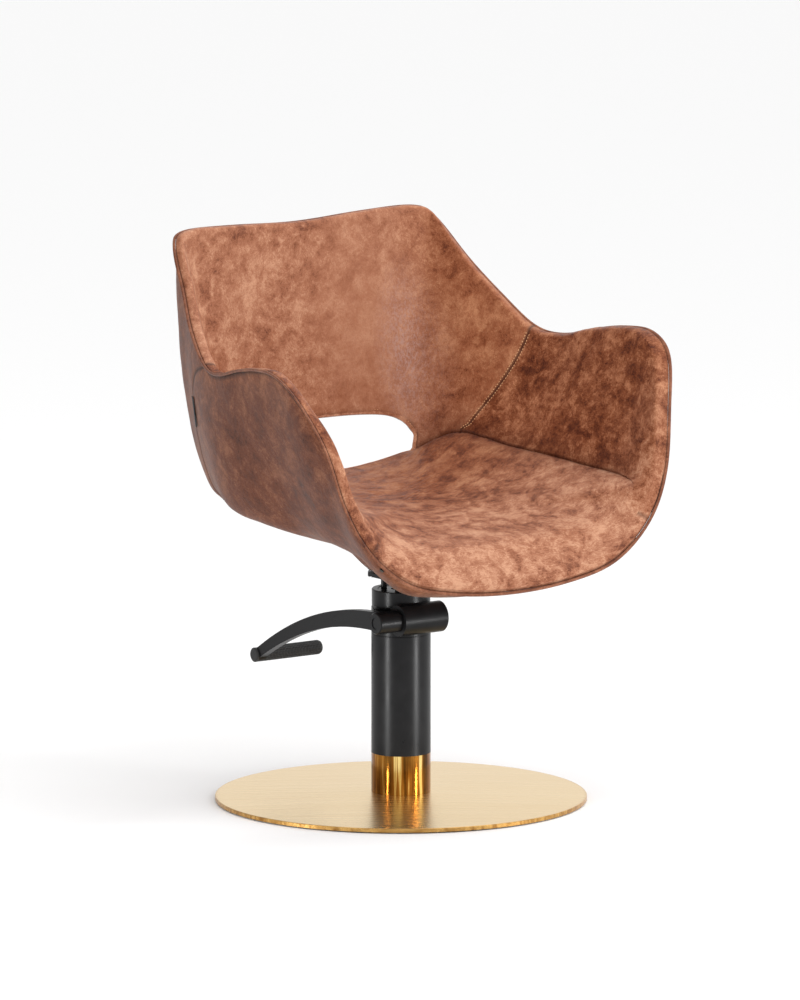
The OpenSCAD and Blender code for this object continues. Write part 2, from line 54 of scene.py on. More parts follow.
# ---------------------------------------------------------------- bucket surfaces
# All shapes are worked out in mm, and link() turns them into metres.
# Rings of the bucket, front middle to back middle, in mm, as the CAD part has them:
# outer edge, edge width vector, crease of seat and wall, belly of the underside, fullness.
KEYS = np.array([
    [0, -298, 359, 0, 3, 24, 0, -262, 430, 0, -250, 353, 1],
    [100, -297, 366, 0, 3, 24, 92, -262, 431, 92, -250, 355, 1],
    [190, -293, 388, -8, 3, 22, 172, -262, 440, 168, -250, 366, 1],
    [258, -287, 443, -20, 2, 12, 226, -262, 468, 212, -242, 398, 0.95],
    [296, -275, 514, -25, 2, 2, 246, -255, 496, 229, -222, 424, 0.81],
    [317, -254, 604, -25, 4, -1, 250, -210, 505, 230, -188, 433, 0.75],
    [343, -216, 677, -24, 8, -3, 246, -160, 508, 227, -142, 435, 0.7],
    [348, -165, 706, -24, 3, -2, 238, -115, 511, 221, -102, 436, 0.7],
    [341, -104, 706, -24, 0, -2, 229, -70, 515, 220, -64, 437, 0.66],
    [332, -42, 695, -24, 0, -2, 219, -28, 518, 223, -26, 434, 0.55],
    [321, 22, 679, -23, -3, -2, 213, 18, 520, 231, 17, 442, 0.37],
    [306, 80, 684, -20, -8, -2, 208, 80, 525, 242, 68, 450, 0.34],
    [287, 143, 727, -17, -10, -1, 202, 136, 527, 226, 117, 461, 0.4],
    [264, 196, 776, -15, -11, 0, 186, 172, 514, 217, 161, 460, 0.45],
    [243, 250, 832, -10, -15, 0, 158, 198, 494, 190, 197, 457, 0.41],
    [214, 271, 852, -4, -17, 0, 120, 208, 482, 153, 212, 430, 0.47],
    [120, 279, 851, 0, -18, 0, 62, 211, 473, 84, 214, 426, 0.58],
    [0, 283, 845, 0, -18, 0, 0, 211, 470, 0, 215, 418, 0.6],
], float)
MIRROR = np.array([-1, 1, 1, -1, 1, 1, -1, 1, 1, -1, 1, 1, 1], float)
TABLE = np.vstack([KEYS[1] * MIRROR, KEYS, KEYS[-2] * MIRROR])
SPANS = len(KEYS) - 1
SEAT_H, SHELL_Z, SWELL, EDGE_T = 452.0, 349.0, 0.025, 28.0
PAN_STOPS = np.array([0, 0.18, 0.3, 0.6, 1])
PAN_FLAT, PAN_POWER = 0.18, 0.6
PIPING_D, ROLL_H, OPENING_H = 5.0, 4.0, 82.0
HOLE_KEY, ARM_KEY, CORNER_KEY = 14, 3, 11
SEAT_ROWS, WALL_ROWS, PAN_ROWS = 6, 6, 4
INNER_SWING, OUTER_SWING, OUTER_SWING_END = 1.05, 1.6, 0.6  # how far the corner seams swing back


def unit(v):
    return v / np.maximum(np.linalg.norm(v, axis=-1, keepdims=True), 1e-9)


def smooth_step(u):
    """0 to 1 with level ends, where u goes from 0 to 1."""
    u = np.clip(u, 0, 1)
    return u * u * (3 - 2 * u)


def bell(d, width, power=2):
    """1 at distance 0, falling to 1/e at distance width."""
    return np.exp(-np.power(d / width, power))


def ring(t):
    """The 13 ring values at ring parameter t, by the same spline as the CAD part."""
    t = np.clip(t, 0, SPANS)
    i = np.minimum(np.floor(t).astype(int), SPANS - 1)
    u = (t - i)[..., None]
    a, b, c, d = TABLE[i], TABLE[i + 1], TABLE[i + 2], TABLE[i + 3]
    return 0.5 * (2 * b + (c - a) * u + (2 * a - 5 * b + 4 * c - d) * u**2
                  + (3 * b - a - 3 * c + d) * u**3)


def wall(foot, edge, full, w):
    """Points at height share w of a wall that leans out from foot to edge."""
    h = np.power(np.maximum(w, 0), full)[..., None]
    p = foot + (edge - foot) * h
    p[..., 2] = foot[..., 2] + (edge[..., 2] - foot[..., 2]) * w
    return p


def parts_of(t):
    """Inner and outer rim line, crease, belly and fullness at t, and the way the wall runs."""
    k = ring(t)
    edge, width, crease, belly, full = k[..., :3], k[..., 3:6], k[..., 6:9], k[..., 9:12], k[..., 12]
    way = unit(edge - wall(belly, edge, full, np.full(t.shape, 0.85)))
    outer = edge + unit(width) * PIPING_D * 0.8 - way * ROLL_H * 0.8
    inner = edge + width - way * ROLL_H * 0.8
    return inner, outer, crease, belly, full, way


def opening_share(t):
    """Height of the lumbar opening at t, as a share of the wall's height."""
    u = (SPANS - t) / (SPANS - HOLE_KEY)
    return 0.05 + (OPENING_H / 375 - 0.05) * np.power(np.maximum(0, 1 - u * u), 0.7)


def wall_share(t, j):
    """Height share of wall row j: row 0 to 1 is the opening's band."""
    s = opening_share(t)
    return np.where(j < 1, s * np.clip(j, 0, 1), s + (1 - s) * (j - 1) / (WALL_ROWS - 1))


def inner_point(t, j):
    """Upholstered face: rows 0..6 seat, 6..12 wall; j may be fractional."""
    inner, outer, crease, belly, full, way = parts_of(t)
    s = np.clip(j / SEAT_ROWS, 0, 1)
    p = crease * s[..., None]
    p[..., 2] = SEAT_H + (crease[..., 2] - SEAT_H) * np.power(s, 2.2)
    q = wall(crease, inner, np.full(t.shape, 0.85), wall_share(t, j - SEAT_ROWS))
    return np.where((j <= SEAT_ROWS)[..., None], p, q)


def cover_height(t, k, foot_z, edge_z):
    """Share of the cover's height at whole row k of the CAD grid."""
    m = np.clip((t - 3) / 2, 0, 1)
    kk = np.full(t.shape, float(max(k, SEAT_ROWS)))
    plain = 0.2 + 0.8 * wall_share(t, kk - SEAT_ROWS)
    z = inner_point(t, kk)[..., 2] - (EDGE_T if k <= SEAT_ROWS else 0)
    w = plain * (1 - m) + m * (z - foot_z) / (edge_z - foot_z)
    return w * 0.3 if k < SEAT_ROWS else w


def outer_point(t, j):
    """Outer face: rows 0..4 the pan underneath, 4..12 the side wall."""
    inner, outer, crease, belly, full, way = parts_of(t)
    row = np.arange(PAN_ROWS + 1)
    s = np.interp(j, row, PAN_STOPS)
    levels = np.power(np.maximum(PAN_STOPS - PAN_FLAT, 0) / (1 - PAN_FLAT), PAN_POWER)
    rise = np.interp(j, row, levels)
    pan = belly * s[..., None]
    pan[..., 2] = SHELL_Z + (belly[..., 2] - SHELL_Z) * rise
    levels = [np.zeros(t.shape)]
    levels += [cover_height(t, k, belly[..., 2], outer[..., 2])
               for k in range(PAN_ROWS + 1, SEAT_ROWS + WALL_ROWS + 1)]
    levels = np.stack(levels)
    f = np.clip(j - PAN_ROWS, 0, len(levels) - 1.0001)
    i = f.astype(int)
    lo = np.take_along_axis(levels, i[None], 0)[0]
    hi = np.take_along_axis(levels, i[None] + 1, 0)[0]
    w = lo + (hi - lo) * (f - i)
    side = wall(belly, outer, full, w)
    side[..., :2] *= (1 + SWELL * np.sin(np.pi * np.clip(w, 0, 1)))[..., None]
    return np.where((j <= PAN_ROWS)[..., None], pan, side)


# ---------------------------------------------------------------- fine grids
PER_KEY = 12
HALF = SPANS * PER_KEY
COLS = 2 * HALF
PAN_N, HOLE_N, WALL_N, ROLL_N = 36, 8, 40, 10
ROWS_J = np.concatenate([
    np.linspace(0, SEAT_ROWS, PAN_N + 1),
    SEAT_ROWS + np.linspace(0, 1, HOLE_N + 1)[1:],
    SEAT_ROWS + 1 + np.linspace(0, WALL_ROWS - 1, WALL_N + 1)[1:],
])
ROW_CREASE, ROW_HOLE, ROW_EDGE = PAN_N, PAN_N + HOLE_N, PAN_N + HOLE_N + WALL_N
ROWS = ROW_EDGE + ROLL_N
col = np.arange(COLS)
T0 = np.where(col <= HALF, col, COLS - col) / PER_KEY
SIDE = np.where(col <= HALF, 1.0, -1.0)


def seam_shift(share):
    """How far the corner seam swings back, in ring units, where it would swing by share."""
    bump = smooth_step(1 - np.abs(T0 - CORNER_KEY) / (HOLE_KEY - CORNER_KEY))
    return share * bump[:, None]


def mirrored(p):
    """The far half of the ring has its X turned round."""
    q = p.copy()
    q[..., 0] *= SIDE.reshape((-1,) + (1,) * (q.ndim - 2))
    return q


def inner_grid():
    j = np.broadcast_to(ROWS_J, (COLS, len(ROWS_J)))
    w = np.clip((j - SEAT_ROWS) / WALL_ROWS, 0, 1)
    t = T0[:, None] + seam_shift(INNER_SWING * (1 - w)**2)
    return inner_point(t, j)


def outer_grid():
    j = np.broadcast_to(ROWS_J, (COLS, len(ROWS_J)))
    w = np.clip((j - PAN_ROWS) / (SEAT_ROWS + WALL_ROWS - PAN_ROWS), 0, 1)
    u = np.minimum(1, (1 - w) / OUTER_SWING_END)
    t = T0[:, None] + seam_shift(OUTER_SWING * (1 - (1 - u)**2))
    return outer_point(t, j)


FILLET_STEP = 1.5


def fillet(P, near, sigma, reach):
    """Rounds each column of P about row near: sigma and reach in mm, one sigma per column."""
    out = P.copy()
    for c in range(P.shape[0]):
        line = P[c]
        s = np.concatenate([[0], np.cumsum(np.linalg.norm(np.diff(line, axis=0), axis=1))])
        n = int(s[-1] / FILLET_STEP) + 2
        g = np.linspace(0, s[-1], n)
        fine = np.stack([np.interp(g, s, line[:, k]) for k in range(3)], 1)
        step = g[1] - g[0]
        half = int(3 * sigma[c] / step) + 1
        kernel = np.exp(-0.5 * (np.arange(-half, half + 1) * step / sigma[c]) ** 2)
        kernel /= kernel.sum()
        head = 2 * fine[0] - fine[1:half + 1][::-1]
        tail = 2 * fine[-1] - fine[-half - 1:-1][::-1]
        full = np.concatenate([head, fine, tail])
        soft = np.stack([np.convolve(full[:, k], kernel, "valid") for k in range(3)], 1)
        soft = np.stack([np.interp(s, g, soft[:, k]) for k in range(3)], 1)
        m = np.exp(-(((s - s[near]) / reach[c]) ** 2))[:, None]
        out[c] = line * (1 - m) + soft * m
    return out


def smooth_columns(P, rounds, mask):
    """Evens out the ring direction, so that no rib follows a key ring."""
    for _ in range(rounds):
        P = P + mask[:, :, None] * (0.5 * (np.roll(P, 1, 0) + np.roll(P, -1, 0)) - P) * 0.5
    return P


IN, OUT = mirrored(inner_grid()), mirrored(outer_grid())

# Rim roll from the inner edge to the outer edge.
inner_e, outer_e, _, _, _, way = (mirrored(x) if x.ndim == 2 else x for x in parts_of(T0))
angle = np.linspace(0, math.pi, ROLL_N + 1)[1:]
roll = []
for a in angle:
    lift = ROLL_H * math.sin(a) ** 0.75
    roll.append((inner_e + outer_e) / 2 + (inner_e - outer_e) / 2 * math.cos(a) + way * lift)
TOP = np.concatenate([IN, np.stack(roll, 1)], 1)


def grid_normals(P, towards):
    """Normals of a grid, all turned to the side that the vectors towards point to."""
    du = np.roll(P, -1, 0) - np.roll(P, 1, 0)
    dv = np.gradient(P, axis=1)
    n = unit(np.cross(du, dv))
    n[:, 0] = n[:, 1]
    mean = n[:, 0].mean(0)
    n[:, 0] = unit(mean)
    flip = np.sign((n * towards).sum(-1, keepdims=True))
    middle = flip[:, PAN_N // 2:ROW_HOLE + WALL_N // 2].mean()
    return n if middle > 0 else -n


HEART = np.array([0, -60, 640.0])        # a point inside the bucket
SHELL_HEART = np.array([0, -20, 560.0])  # a point inside the outer skin
FRONT_KEYS, FRONT_FADE = 2.4, 1.6        # the seat rolls over the front up to this ring
CREASE_ROUND, CREASE_ROUND_FRONT = (2.5, 18), (17, 60)
RIM_ROUND = 2.6, 16.0
PAN_ROUNDS = (1, 5.0), (2, 9.0), (PAN_ROWS, 12.0)
EVENING = 10

front = smooth_step(1 - (T0 - FRONT_KEYS) / FRONT_FADE)
TOP = fillet(TOP, ROW_CREASE, CREASE_ROUND[0] + CREASE_ROUND_FRONT[0] * front,
             CREASE_ROUND[1] + CREASE_ROUND_FRONT[1] * front)
TOP = fillet(TOP, ROW_EDGE, *(np.full(COLS, mm) for mm in RIM_ROUND))
soft_mask = np.ones((COLS, ROWS + 1))
soft_mask[:, ROW_CREASE:] *= 0.6
TOP = smooth_columns(TOP, EVENING, soft_mask)
N_TOP = grid_normals(TOP, HEART - TOP)

PAN_ROW = PAN_N // SEAT_ROWS  # grid rows per row of the CAD pan
for row, sigma in PAN_ROUNDS:
    OUT = fillet(OUT, PAN_ROW * row, np.full(COLS, sigma), np.full(COLS, 5 * sigma))
OUT = smooth_columns(OUT, EVENING, np.ones(OUT.shape[:2]))
N_OUT = grid_normals(OUT, OUT - SHELL_HEART)


# ---------------------------------------------------------------- seams
def seam_points(P, cells):
    """The points of grid P at a run of (column, row) cells."""
    return np.array([P[c % COLS, r] for c, r in cells])


def column_of(t, side):
    """Grid column of ring parameter t on the left (side 1) or the right (side -1)."""
    c = int(round(t * PER_KEY))
    return c if side > 0 else (COLS - c) % COLS


def distance_to(P, lines):
    """Distance from each grid point to the nearest of the polylines, in mm."""
    dense = []
    for line in lines:
        seg = np.linalg.norm(np.diff(line, axis=0), axis=1)
        s = np.concatenate([[0], np.cumsum(seg)])
        g = np.linspace(0, s[-1], max(2, int(s[-1] / 1.2)))
        dense.append(np.stack([np.interp(g, s, line[:, k]) for k in range(3)], 1))
    dense = np.concatenate(dense)
    tree = kdtree.KDTree(len(dense))
    for i, p in enumerate(dense):
        tree.insert(p, i)
    tree.balance()
    flat = P.reshape(-1, 3)
    return np.array([tree.find(p)[2] for p in flat]).reshape(P.shape[:2])


def up_the_wall(key, side, first=ROW_CREASE, last=ROW_EDGE + ROLL_N):
    return [(column_of(key, side), r) for r in range(first, last + 1)]


def across_the_back(row):
    return [(c % COLS, row) for c in range(HOLE_KEY * PER_KEY, COLS - HOLE_KEY * PER_KEY + 1)]


corner_cells = {s: up_the_wall(CORNER_KEY, s) for s in (1, -1)}
front_cells = {s: up_the_wall(ARM_KEY, s) for s in (1, -1)}
crease_cells = {s: [(column_of(k / PER_KEY, s), ROW_CREASE)
                    for k in range(ARM_KEY * PER_KEY, HOLE_KEY * PER_KEY + 1)] for s in (1, -1)}
hole_top, hole_bottom = across_the_back(ROW_HOLE), across_the_back(ROW_CREASE)
hole_left = up_the_wall(HOLE_KEY, 1, last=ROW_HOLE)
hole_right = up_the_wall(HOLE_KEY, -1, last=ROW_HOLE)
hole_cells = hole_top, hole_bottom, hole_left, hole_right

corner_seams = [seam_points(TOP, corner_cells[s]) for s in (1, -1)]
front_seams = [seam_points(TOP, front_cells[s]) for s in (1, -1)]
crease_seams = [seam_points(TOP, crease_cells[s]) for s in (1, -1)]
hole_seams = [seam_points(TOP, h) for h in hole_cells]

d_corner = distance_to(TOP, corner_seams)
d_front = distance_to(TOP, front_seams)
d_crease = distance_to(TOP, crease_seams)
d_hole = distance_to(TOP, hole_seams)
rim_line = [np.concatenate([TOP[:, ROWS], TOP[:1, ROWS]])]
d_rim = distance_to(TOP, rim_line)


def dip(d, depth, radius):
    """The sharp hollow that a seam pulls, as a depth at distance d from it."""
    return depth * bell(d, radius, 1.3)


def waves(P, count, size, seed):
    """Smooth seeded ripple field over points P: a sum of random plane waves, size in mm."""
    r = np.random.default_rng(seed)
    total = np.zeros(P.shape[:-1])
    for _ in range(count):
        k = unit(r.normal(size=3)) * (2 * math.pi / (size * r.uniform(0.6, 1.6)))
        total += np.sin(P @ k + r.uniform(0, 2 * math.pi))
    return total / math.sqrt(count / 2)


# Relief of the upholstery, in mm: crown of the seat, binding round the opening, wrinkles.
CROWN, CROWN_REACH = 3.5, 45
BINDING, BINDING_DEPTH = 5.0, 1.1
SLACK, SLACK_SIZE, FINE_SLACK, FINE_SLACK_SIZE = 0.35, 60, 0.16, 22
WRINKLE_PITCH, WRINKLE_H = (17.0, 10.5), (0.8, 0.5)
PANEL_FOOT = 4  # first grid row of the outer back panel

is_seat = np.zeros(TOP.shape[:2], bool)
is_seat[:, :ROW_CREASE + 1] = True
is_seat[T0 <= ARM_KEY, :] = True
lift = np.where(is_seat, CROWN * (1 - bell(np.minimum(d_crease, d_hole), CROWN_REACH)), 0)
fade = smooth_step((T0 - 3.3) / 2.2)[:, None]  # no crease where seat and front run on in one
at_rim = np.zeros(TOP.shape[:2])
at_rim[:, ROW_EDGE - 2:] = 1
lift -= dip(d_crease, 4.5, 7) * np.where(is_seat, 1.2, 0.5) * fade
lift -= dip(d_corner, 1.6, 3.2) * np.clip((d_rim - 4) / 16, 0, 1)
lift -= dip(d_front, 1.0, 2.4) * at_rim
lift -= dip(d_hole, 2.2, 2.2) + np.where(is_seat, 0, BINDING_DEPTH * bell(d_hole - BINDING, 1.6))
lift += SLACK * waves(TOP, 24, SLACK_SIZE, 3) + FINE_SLACK * waves(TOP, 24, FINE_SLACK_SIZE, 4)

# Fine wrinkles that cross the seat, strongest at its back.
seat_w = np.where(is_seat, np.clip((TOP[..., 1] + 190) / 330, 0.12, 1), 0.0)
seat_w *= np.clip(d_crease / 25, 0.3, 1)
bend = 9 * waves(TOP, 10, 120, 5)
per_mm = [2 * math.pi / pitch for pitch in WRINKLE_PITCH]
ripple = np.sin((TOP[..., 1] + bend + 0.10 * TOP[..., 0]) * per_mm[0])
ripple2 = np.sin((TOP[..., 1] + 1.4 * bend - 0.07 * TOP[..., 0]) * per_mm[1] + 1.0)
gate = np.clip(0.5 + 0.5 * waves(TOP, 12, 80, 6), 0, 1)
lift += seat_w * (WRINKLE_H[0] * ripple * gate + WRINKLE_H[1] * ripple2 * (1 - gate))
edge_fade = np.ones(TOP.shape[:2])
edge_fade[:, ROW_EDGE + ROLL_N - 2:] = 0
TOP = TOP + N_TOP * (lift * edge_fade)[..., None]
N_TOP = grid_normals(TOP, HEART - TOP)

outer_seams = [seam_points(OUT, up_the_wall(CORNER_KEY, s, PANEL_FOOT, ROW_EDGE)) for s in (1, -1)]
outer_hole = [seam_points(OUT, h) for h in hole_cells]
d_outer_corner = distance_to(OUT, outer_seams)
d_outer_hole = distance_to(OUT, outer_hole)
lift_out = -dip(d_outer_corner, 1.6, 3.0) - dip(d_outer_hole, 1.6, 4)
lift_out += 0.3 * waves(OUT, 24, 90, 8) + 0.1 * waves(OUT, 24, 30, 9)
outer_fade = np.concatenate([np.ones(ROW_EDGE - 1), [0.4, 0]])
OUT = OUT + N_OUT * (lift_out * outer_fade)[..., None]
N_OUT = grid_normals(OUT, OUT - SHELL_HEART)


# ---------------------------------------------------------------- mesh building
SHARP = math.radians(50)
PAD_T, BACK_T, LEATHER_T = 9.0, 7.0, 2.0


def signed_volume(v, faces):
    """Volume that the faces enclose, negative where they are inside out."""
    total = 0.0
    for size in {len(f) for f in faces}:
        f = np.array([x for x in faces if len(x) == size])
        for k in range(1, size - 1):
            total += np.einsum("ij,ij->i", v[f[:, 0]], np.cross(v[f[:, k]], v[f[:, k + 1]])).sum()
    return total / 6


def link(name, verts, faces):
    """New smooth object from points in mm, with its faces turned outwards."""
    if signed_volume(np.asarray(verts, float), faces) < 0:
        faces = [f[::-1] for f in faces]
    mesh = bpy.data.meshes.new(name)
    mesh.from_pydata([tuple(v) for v in np.asarray(verts) * MM], [], [tuple(f) for f in faces])
    mesh.validate()
    mesh.update()
    mesh.shade_smooth()
    mesh.set_sharp_from_angle(angle=SHARP)
    obj = bpy.data.objects.new(name, mesh)
    bpy.context.scene.collection.objects.link(obj)
    return obj


def point_value(obj, name, values):
    a = obj.data.attributes.new(name, "FLOAT", "POINT")
    a.data.foreach_set("value", np.asarray(values, np.float32))


def panel(name, P, N, mask, thick, fields, flip=False):
    """Closed leather panel over the grid cells in mask, with its underside thick mm below."""
    cols, rows = P.shape[:2]
    low = P - N * thick
    used = {}
    verts, faces, src = [], [], []

    def vid(c, r, layer):
        if r == 0:
            c = 0
        key = (c, r, layer)
        if key not in used:
            used[key] = len(verts)
            verts.append((P if layer == 0 else low)[c, r])
            src.append((c, r))
        return used[key]

    def quad(*ids):
        ids = [i for n, i in enumerate(ids) if i not in ids[:n]]
        if len(ids) > 2:
            faces.append(ids[::-1] if flip else ids)

    for c in range(cols):
        c2, cp = (c + 1) % cols, (c - 1) % cols
        for r in range(rows - 1):
            if not mask[c, r]:
                continue
            a, b, e, f = (c, r), (c2, r), (c2, r + 1), (c, r + 1)
            quad(vid(*a, 0), vid(*f, 0), vid(*e, 0), vid(*b, 0))
            quad(vid(*a, 1), vid(*b, 1), vid(*e, 1), vid(*f, 1))
            if r > 0 and not mask[c, r - 1]:
                quad(vid(*a, 0), vid(*b, 0), vid(*b, 1), vid(*a, 1))
            if r == rows - 2 or not mask[c, r + 1]:
                quad(vid(*f, 0), vid(*f, 1), vid(*e, 1), vid(*e, 0))
            if not mask[cp, r]:
                quad(vid(*a, 0), vid(*a, 1), vid(*f, 1), vid(*f, 0))
            if not mask[c2, r]:
                quad(vid(*b, 0), vid(*e, 0), vid(*e, 1), vid(*b, 1))
    obj = link(name, verts, faces)
    src = np.array(src)
    for key, field in fields.items():
        point_value(obj, key, field[src[:, 0], src[:, 1]])
    return obj


cell_t = ((T0 + np.roll(T0, -1)) / 2)[:, None]
cell_row = np.arange(ROWS)[None, :]
is_left = (col < HALF)[:, None]
in_hole = (cell_row >= ROW_CREASE) & (cell_row < ROW_HOLE) & (cell_t > HOLE_KEY)
seat_cells = (cell_row < ROW_CREASE) | (cell_t < ARM_KEY)
back_cells = ~seat_cells & (cell_t > CORNER_KEY) & ~in_hole
arm_cells = ~seat_cells & (cell_t < CORNER_KEY)

# Fields that the leather reads: dark seam lines with painted shade under the rim, along the binding
# groove and in the seat crease, painted shade in the crease hollow, and painted light at the front.
seam_and_shade_dark = np.maximum.reduce([
    bell(d_corner, 1.7), bell(d_hole, 1.5) * 0.6, bell(d_rim, 1.7),
    bell(d_hole - BINDING, 1.3) * np.where(is_seat, 0, 0.9),
    bell(d_crease, 2.2) * fade * 0.45, bell(d_front, 1.5) * at_rim * 0.7])
lit = np.broadcast_to(smooth_step((6.5 - T0) / 3.2)[:, None], TOP.shape[:2])
fields = {"lit": lit, "seam": seam_and_shade_dark, "hollow": bell(d_crease, 22) * fade}
seat = panel("seat_cushion_leather", TOP, N_TOP, seat_cells, PAD_T, fields)
back = panel("back_leather", TOP, N_TOP, back_cells, BACK_T, fields)
arm_l = panel("arm_leather_left", TOP, N_TOP, arm_cells & is_left, BACK_T, fields)
arm_r = panel("arm_leather_right", TOP, N_TOP, arm_cells & ~is_left, BACK_T, fields)

outer_row = cell_row[:, :ROW_EDGE]
outer_open = in_hole[:, :ROW_EDGE]
is_back = (cell_t > CORNER_KEY) & (outer_row >= PANEL_FOOT)
d_outer_seam = np.minimum(d_outer_corner, d_outer_hole)
d_outer_rim = distance_to(OUT, [np.concatenate([OUT[:, ROW_EDGE], OUT[:1, ROW_EDGE]])])
# The "seam" field here also paints a shadow: a flat dark band under the piping along the outer rim.
outer_fields = {"seam": np.maximum(bell(d_outer_seam, 2.2), bell(d_outer_rim, 4.2, 4)),
                "rim": bell(d_outer_rim, 17)}
shell_side = panel("outer_side_leather", OUT, N_OUT, ~is_back & ~outer_open, LEATHER_T,
                   outer_fields, flip=True)
shell_back = panel("outer_back_leather", OUT, N_OUT, is_back & ~outer_open, LEATHER_T,
                   outer_fields, flip=True)


def tube(name, centre, a_axis, b_axis, sections, closed=True):
    """Sweep: a_axis and b_axis are the half-axes at each centre."""
    n = len(centre)
    ang = np.linspace(0, 2 * math.pi, sections, endpoint=False)
    verts = (centre[:, None] + np.cos(ang)[None, :, None] * a_axis[:, None]
             + np.sin(ang)[None, :, None] * b_axis[:, None]).reshape(-1, 3)
    faces = []
    for i in range(n if closed else n - 1):
        for k in range(sections):
            k2, i2 = (k + 1) % sections, (i + 1) % n
            faces.append([i * sections + k, i * sections + k2, i2 * sections + k2, i2 * sections + k])
    if not closed:
        faces.append(list(range(sections))[::-1])
        faces.append([(n - 1) * sections + k for k in range(sections)])
    return link(name, verts, faces)


def eased(line, share, rounds):
    """A closed line, evened out a little by each round."""
    for _ in range(rounds):
        line = line + share * (np.roll(line, 1, 0) + np.roll(line, -1, 0) - 2 * line)
    return line


# Piping cord under the outer edge of the rim.
CORD_GAP, CORD_RISE = 0.15, 0.8
across_rim = unit(inner_e - outer_e)
cord_r = PIPING_D / 2
cord = eased(outer_e - across_rim * (cord_r + CORD_GAP) + way * CORD_RISE, 0.25, 6)
piping = tube("piping_cord", cord, way * cord_r, across_rim * cord_r, 14)


def opening_lining():
    """Turned leather edge inside the lumbar opening, from the inner to the outer skin."""
    steps, bulge_h, lip_h, depth = 14, 3.0, 1.2, 5
    loop = hole_bottom + hole_right[1:-1] + hole_top[::-1] + hole_left[1:-1][::-1]
    start, end = seam_points(TOP, loop), seam_points(OUT, loop)
    n_start, n_end = seam_points(N_TOP, loop), seam_points(N_OUT, loop)
    mid = (start + end) / 2
    start, end = eased(start, 0.2, 4), eased(end, 0.2, 4)
    through = unit(end - start)
    inward = unit(np.cross(unit(np.roll(mid, -1, 0) - np.roll(mid, 1, 0)), through))
    if ((mid.mean(0) - mid) * inward).sum() < 0:
        inward = -inward
    rows = []
    for f in np.arange(steps + 1) / steps:
        rows.append(start + (end - start) * f + inward * bulge_h * math.sin(math.pi * f) ** 0.5
                    + n_start * (lip_h * (1 - f) ** 6) + n_end * (lip_h * f ** 6))
    rows += [start + (end - start) * f - inward * depth for f in (0.97, 0.5, 0.03)]
    rows = np.array(rows)
    rings, around = rows.shape[:2]
    faces = [[k * around + i, k * around + (i + 1) % around,
              (k + 1) % rings * around + (i + 1) % around, (k + 1) % rings * around + i]
             for k in range(rings) for i in range(around)]
    return link("opening_lining_leather", rows.reshape(-1, 3), faces)


lining = opening_lining()


# Round-wire return spring of the plunger, built as a coil of fixed length.
WIRE, TURNS = 0.9, 5  # radius of the wire and number of turns
spring_low, spring_high = (np.array(v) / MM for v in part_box("plunger_spring"))
spring_mid = (spring_low + spring_high) / 2
turn = np.linspace(0, 2 * math.pi * TURNS, TURNS * 24 + 1)
radial = np.stack([np.cos(turn), np.sin(turn), 0 * turn], 1)
coil = spring_mid + radial * ((spring_high - spring_low)[0] / 2 - WIRE)
coil[:, 2] = np.linspace(spring_high[2] - WIRE, spring_low[2] + WIRE, len(turn))
across_wire = unit(np.cross(np.gradient(coil, axis=0), radial))
spring = tube("plunger_spring_wire", coil, radial * WIRE, across_wire * WIRE, 10, closed=False)


# ---------------------------------------------------------------- stitching
def resample(line, normal, pitch):
    """Points and normals every pitch mm along a line."""
    seg = np.linalg.norm(np.diff(line, axis=0), axis=1)
    s = np.concatenate([[0], np.cumsum(seg)])
    n = max(2, int(s[-1] / pitch))
    g = (np.arange(n) + 0.5) * s[-1] / n
    at = [np.stack([np.interp(g, s, a[:, k]) for k in range(3)], 1) for a in (line, normal)]
    return at[0], unit(at[1])


STITCH_PITCH, STITCH_L, STITCH_R = 4.6, 3.3, 0.7
STITCH_RISE, STITCH_SAG = 0.4, 0.5
STITCH_SIDES, STITCH_RINGS = 6, 5


def stitch(p, along, side, up):
    """Points of one thread stitch at p, as rings from end to end."""
    verts = []
    for x in np.linspace(-1, 1, STITCH_RINGS):
        r = STITCH_R * math.sqrt(max(0.04, 1 - abs(x) ** 3))
        for a in np.arange(STITCH_SIDES) * 2 * math.pi / STITCH_SIDES:
            verts.append(p + along * x * STITCH_L / 2 + side * math.cos(a) * r
                         + up * (math.sin(a) * r + STITCH_RISE - STITCH_SAG * x * x))
    return verts


def stitches(name, runs):
    """Short slack thread stitches along each run of (points, normals)."""
    verts, faces = [], []
    last = (STITCH_RINGS - 1) * STITCH_SIDES
    for line, normal in runs:
        points, ups = resample(line, normal, STITCH_PITCH)
        ways = unit(np.gradient(points, axis=0))
        for p, along, side, up in zip(points, ways, unit(np.cross(ups, ways)), ups):
            base = len(verts)
            verts += stitch(p, along, side, up)
            for a in range(base, base + last, STITCH_SIDES):
                for k in range(STITCH_SIDES):
                    k2 = (k + 1) % STITCH_SIDES
                    faces.append([a + k, a + STITCH_SIDES + k, a + STITCH_SIDES + k2, a + k2])
            faces.append([base + k for k in range(STITCH_SIDES)])
            faces.append([base + last + k for k in range(STITCH_SIDES)][::-1])
    return link(name, verts, faces)


def beside(cells, dc, dr, mm, P, N):
    """The line mm beside a run of cells on the surface, in the (dc, dr) direction."""
    a = seam_points(P, cells)
    b = seam_points(P, [(c + dc, r + dr) for c, r in cells])
    n = seam_points(N, cells)
    side = unit(b - a)
    return a + side * mm, n


SEAM_TO_STITCH, OPENING_TO_STITCH = 3.4, 7.0
runs = []
for s in (1, -1):
    cells = corner_cells[s][2:-ROLL_N - 1]
    runs.append(beside(cells, 2 * s, 0, SEAM_TO_STITCH, TOP, N_TOP))
    runs.append(beside(cells, -2 * s, 0, SEAM_TO_STITCH, TOP, N_TOP))
runs.append(beside(hole_top[1:-1], 0, 3, OPENING_TO_STITCH, TOP, N_TOP))
thread = stitches("topstitching", runs)


